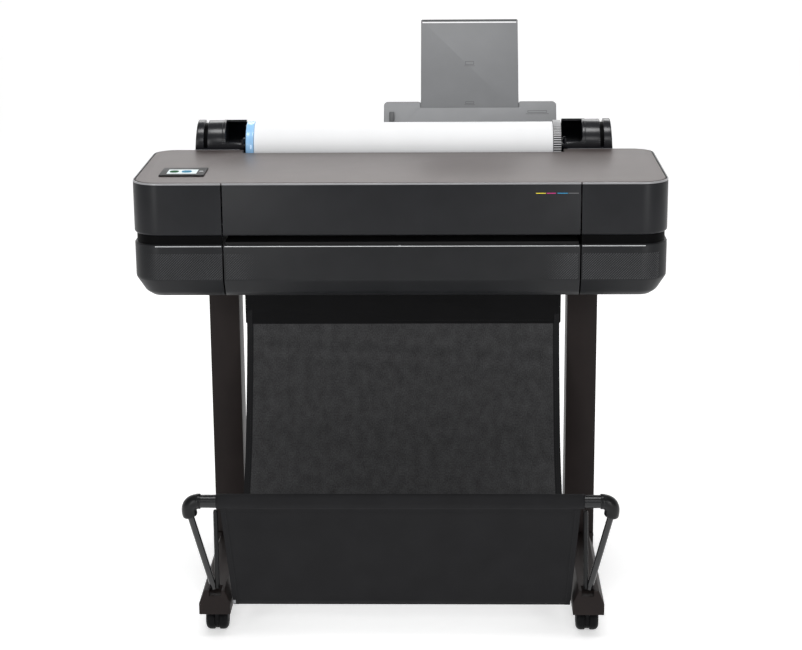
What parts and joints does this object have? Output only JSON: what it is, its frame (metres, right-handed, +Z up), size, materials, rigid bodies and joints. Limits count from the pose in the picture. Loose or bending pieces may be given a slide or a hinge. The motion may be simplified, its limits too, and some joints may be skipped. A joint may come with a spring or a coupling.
{
  "type": "large format plotter",
  "caption": "Free-standing large format inkjet plotter with a rear paper roll, leaning sheet tray, front paper slot, wheeled two-leg stand and cloth catch bin.",
  "frame": {"origin": "on the floor, under the middle of the bounding box", "axes": "+X to the right of someone who faces the machine, -Y out of its front towards them, +Z up"},
  "size_m": [1.013, 0.7546, 1.1124],
  "materials": {
    "taupe_cover": "fine metallic satin",
    "charcoal_cover": "satin, fine grain",
    "woven_cover": "moulded fine diamond texture",
    "black_plastic": "semi gloss",
    "trim_grey": "satin light grey",
    "blue_hub": "satin blue",
    "hub_grey": "ribbed, semi gloss",
    "roll_paper": "matte white",
    "tray_grey": "satin grey",
    "brown_steel": "brown-black powder coat",
    "black_tube": "semi gloss black",
    "plain_steel": "bright",
    "bin_cloth": "black non-woven cloth",
    "rubber_black": "satin",
    "ink_yellow": "satin",
    "ink_magenta": "satin",
    "ink_cyan": "satin",
    "ink_black": "satin"
  },
  "bodies": {
    "printer": {"base_pan": "black_plastic", "bin_back_cloth": "bin_cloth", "carriage_motor": "plain_steel", "carriage_rail": "plain_steel", "chassis_plate_left": "plain_steel", "chassis_plate_right": "plain_steel", "control_panel": "black_plastic", "cross_rail": "brown_steel", "drive_belt": "rubber_black", "foot_left": "brown_steel", "foot_right": "brown_steel", "ink_bay": "charcoal_cover", "left_upper_cover": "charcoal_cover", "leg_left": "brown_steel", "leg_right": "brown_steel", "lower_front_cover": "woven_cover", "lower_left_cover": "woven_cover", "lower_right_cover": "woven_cover", "platen": "black_plastic", "power_inlet": "black_plastic", "power_supply": "plain_steel", "rear_cover": "charcoal_cover", "right_upper_cover": "charcoal_cover", "roll_holder_left": "black_plastic", "roll_holder_right": "black_plastic", "roll_trough": "black_plastic", "service_station": "charcoal_cover", "top_cover": "taupe_cover", "top_trim": "trim_grey"},
    "front_window": {"front_window": "charcoal_cover"},
    "ink_door": {"ink_door": "charcoal_cover"},
    "carriage": {"carriage": "charcoal_cover"},
    "motor_pulley": {"motor_pulley": "plain_steel"},
    "idler_pulley": {"idler_pulley": "plain_steel"},
    "feed_roller": {"feed_roller": "plain_steel"},
    "pinch_roller": {"pinch_roller": "rubber_black"},
    "roll": {"paper_roll": "roll_paper", "left_hub": "blue_hub", "right_hub": "hub_grey", "spindle": "black_plastic"},
    "power_button": {"power_button": "trim_grey"},
    "sheet_tray": {"sheet_tray": "tray_grey"},
    "tray_extension": {"tray_extension": "tray_grey"},
    "sheet_guide": {"sheet_guide": "charcoal_cover"},
    "bin_frame": {"bin_bar": "black_tube", "bin_arm_left": "black_tube", "bin_arm_right": "black_tube", "bin_front_cloth": "bin_cloth"},
    "ink_yellow": {"ink_cartridge_yellow": "ink_yellow"},
    "ink_magenta": {"ink_cartridge_magenta": "ink_magenta"},
    "ink_cyan": {"ink_cartridge_cyan": "ink_cyan"},
    "ink_black": {"ink_cartridge_black": "ink_black"},
    "caster_front_left": {"caster_swivel_front_left": "black_plastic"},
    "wheels_front_left": {"caster_wheels_front_left": "rubber_black"},
    "caster_rear_left": {"caster_swivel_rear_left": "black_plastic"},
    "wheels_rear_left": {"caster_wheels_rear_left": "rubber_black"},
    "caster_front_right": {"caster_swivel_front_right": "black_plastic"},
    "wheels_front_right": {"caster_wheels_front_right": "rubber_black"},
    "caster_rear_right": {"caster_swivel_rear_right": "black_plastic"},
    "wheels_rear_right": {"caster_wheels_rear_right": "rubber_black"}
  },
  "joints": [
    {"name": "window_hinge", "type": "hinge", "parent": "printer", "child": "front_window", "pos_m": [0, -0.24147, 0.8706], "axis": [-1, 0, 0], "range_deg": [0, 80]},
    {"name": "ink_door_hinge", "type": "hinge", "parent": "printer", "child": "ink_door", "pos_m": [0.5065, -0.15205, 0.7815], "axis": [0, 0, 1], "range_deg": [0, 100]},
    {"name": "carriage_slide", "type": "slide", "parent": "printer", "child": "carriage", "axis": [1, 0, 0], "range_m": [-0.8, 0]},
    {"name": "motor_pulley_spin", "type": "hinge", "parent": "printer", "child": "motor_pulley", "pos_m": [0.445, 0.00723, 0.8195], "axis": [0, 0, 1], "range_deg": [-4300, 60]},
    {"name": "idler_pulley_spin", "type": "hinge", "parent": "printer", "child": "idler_pulley", "pos_m": [-0.445, 0.00723, 0.8195], "axis": [0, 0, 1], "range_deg": [-4300, 60]},
    {"name": "feed_roller_spin", "type": "hinge", "parent": "printer", "child": "feed_roller", "pos_m": [0, -0.03097, 0.753], "axis": [1, 0, 0], "continuous": true},
    {"name": "pinch_roller_spin", "type": "hinge", "parent": "printer", "child": "pinch_roller", "pos_m": [0, -0.03097, 0.7686], "axis": [1, 0, 0], "continuous": true},
    {"name": "roll_spin", "type": "hinge", "parent": "printer", "child": "roll", "pos_m": [0, 0.16053, 0.8757], "axis": [1, 0, 0], "continuous": true},
    {"name": "power_button_press", "type": "slide", "parent": "printer", "child": "power_button", "axis": [0, 0, -1], "range_m": [0, 0.0008], "stiffness_N_per_m": 1500},
    {"name": "tray_tilt", "type": "hinge", "parent": "printer", "child": "sheet_tray", "pos_m": [0, 0.23153, 0.862], "axis": [1, 0, 0], "range_deg": [0, 28]},
    {"name": "tray_extension_slide", "type": "slide", "parent": "sheet_tray", "child": "tray_extension", "axis": [0, 0.5, 0.866], "range_m": [-0.058, 0]},
    {"name": "sheet_guide_slide", "type": "slide", "parent": "sheet_tray", "child": "sheet_guide", "axis": [1, 0, 0], "range_m": [0, 0.25]},
    {"name": "bin_hinge", "type": "hinge", "parent": "printer", "child": "bin_frame", "pos_m": [0, -0.32097, 0.0985], "axis": [-1, 0, 0], "range_deg": [0, 35]},
    {"name": "ink_yellow_slide", "type": "slide", "parent": "printer", "child": "ink_yellow", "axis": [0, -1, 0], "range_m": [0, 0.028]},
    {"name": "ink_magenta_slide", "type": "slide", "parent": "printer", "child": "ink_magenta", "axis": [0, -1, 0], "range_m": [0, 0.028]},
    {"name": "ink_cyan_slide", "type": "slide", "parent": "printer", "child": "ink_cyan", "axis": [0, -1, 0], "range_m": [0, 0.028]},
    {"name": "ink_black_slide", "type": "slide", "parent": "printer", "child": "ink_black", "axis": [0, -1, 0], "range_m": [0, 0.028]},
    {"name": "swivel_front_left", "type": "hinge", "parent": "printer", "child": "caster_front_left", "pos_m": [-0.36, -0.29497, 0.0485], "axis": [0, 0, 1], "continuous": true},
    {"name": "roll_front_left", "type": "hinge", "parent": "caster_front_left", "child": "wheels_front_left", "pos_m": [-0.36, -0.28497, 0.02272], "axis": [1, 0, 0], "continuous": true},
    {"name": "swivel_rear_left", "type": "hinge", "parent": "printer", "child": "caster_rear_left", "pos_m": [-0.36, 0.19153, 0.0485], "axis": [0, 0, 1], "continuous": true},
    {"name": "roll_rear_left", "type": "hinge", "parent": "caster_rear_left", "child": "wheels_rear_left", "pos_m": [-0.36, 0.20153, 0.02272], "axis": [1, 0, 0], "continuous": true},
    {"name": "swivel_front_right", "type": "hinge", "parent": "printer", "child": "caster_front_right", "pos_m": [0.36, -0.29497, 0.0485], "axis": [0, 0, 1], "continuous": true},
    {"name": "roll_front_right", "type": "hinge", "parent": "caster_front_right", "child": "wheels_front_right", "pos_m": [0.36, -0.28497, 0.02272], "axis": [1, 0, 0], "continuous": true},
    {"name": "swivel_rear_right", "type": "hinge", "parent": "printer", "child": "caster_rear_right", "pos_m": [0.36, 0.19153, 0.0485], "axis": [0, 0, 1], "continuous": true},
    {"name": "roll_rear_right", "type": "hinge", "parent": "caster_rear_right", "child": "wheels_rear_right", "pos_m": [0.36, 0.20153, 0.02272], "axis": [1, 0, 0], "continuous": true}
  ],
  "couplings": [
    {"joint": "motor_pulley_spin", "follows": "carriage_slide", "rad_per_m": 90.498},
    {"joint": "idler_pulley_spin", "follows": "carriage_slide", "rad_per_m": 90.498},
    {"joint": "pinch_roller_spin", "follows": "feed_roller_spin", "ratio": -2}
  ]
}
